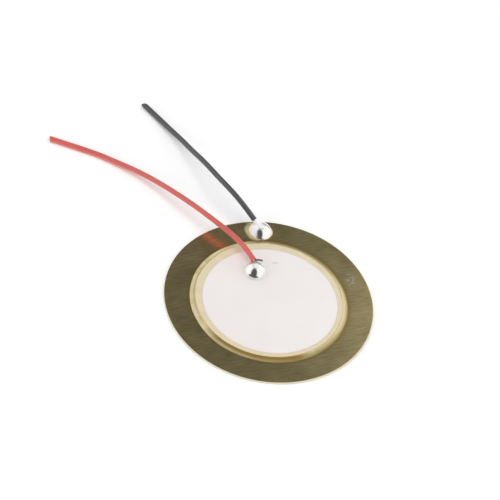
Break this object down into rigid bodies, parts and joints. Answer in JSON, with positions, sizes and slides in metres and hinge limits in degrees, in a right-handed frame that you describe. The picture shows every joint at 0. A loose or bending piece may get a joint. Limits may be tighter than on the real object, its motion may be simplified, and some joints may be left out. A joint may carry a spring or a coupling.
{
  "type": "piezo disc",
  "caption": "Thin round brass plate bonded to a silvered ceramic disc that bends it when driven, with a red and a black lead soldered on and laid beside it.",
  "frame": {"origin": "centre of the brass plate's underside", "axes": "+Z out of the silvered face, +Y from the centre through the solder joint on the brass, +X to the right of it; the leads run off towards -X and +Y"},
  "size_m": [0.0404, 0.0476, 0.0038],
  "materials": {
    "brass": "rolled sheet, fine straight grain, satin",
    "epoxy": "clear amber adhesive, glossy meniscus",
    "fired_silver": "screen printed and fired silver, matt",
    "ceramic": "lapped piezo ceramic, matt",
    "solder": "tin solder, mirror bright",
    "red_insulation": "soft extruded PVC, semi-gloss",
    "black_insulation": "soft extruded PVC, semi-gloss",
    "tinned_copper": "tinned copper strands"
  },
  "bodies": {
    "root": {"brass_plate": "brass", "bond_layer": "epoxy", "lower_electrode": "fired_silver", "ceramic_disc": "ceramic", "upper_electrode": "fired_silver", "electrode_solder": "solder", "plate_solder": "solder", "red_insulation": "red_insulation", "red_conductor": "tinned_copper", "black_insulation": "black_insulation", "black_conductor": "tinned_copper"}
  },
  "joints": []
}
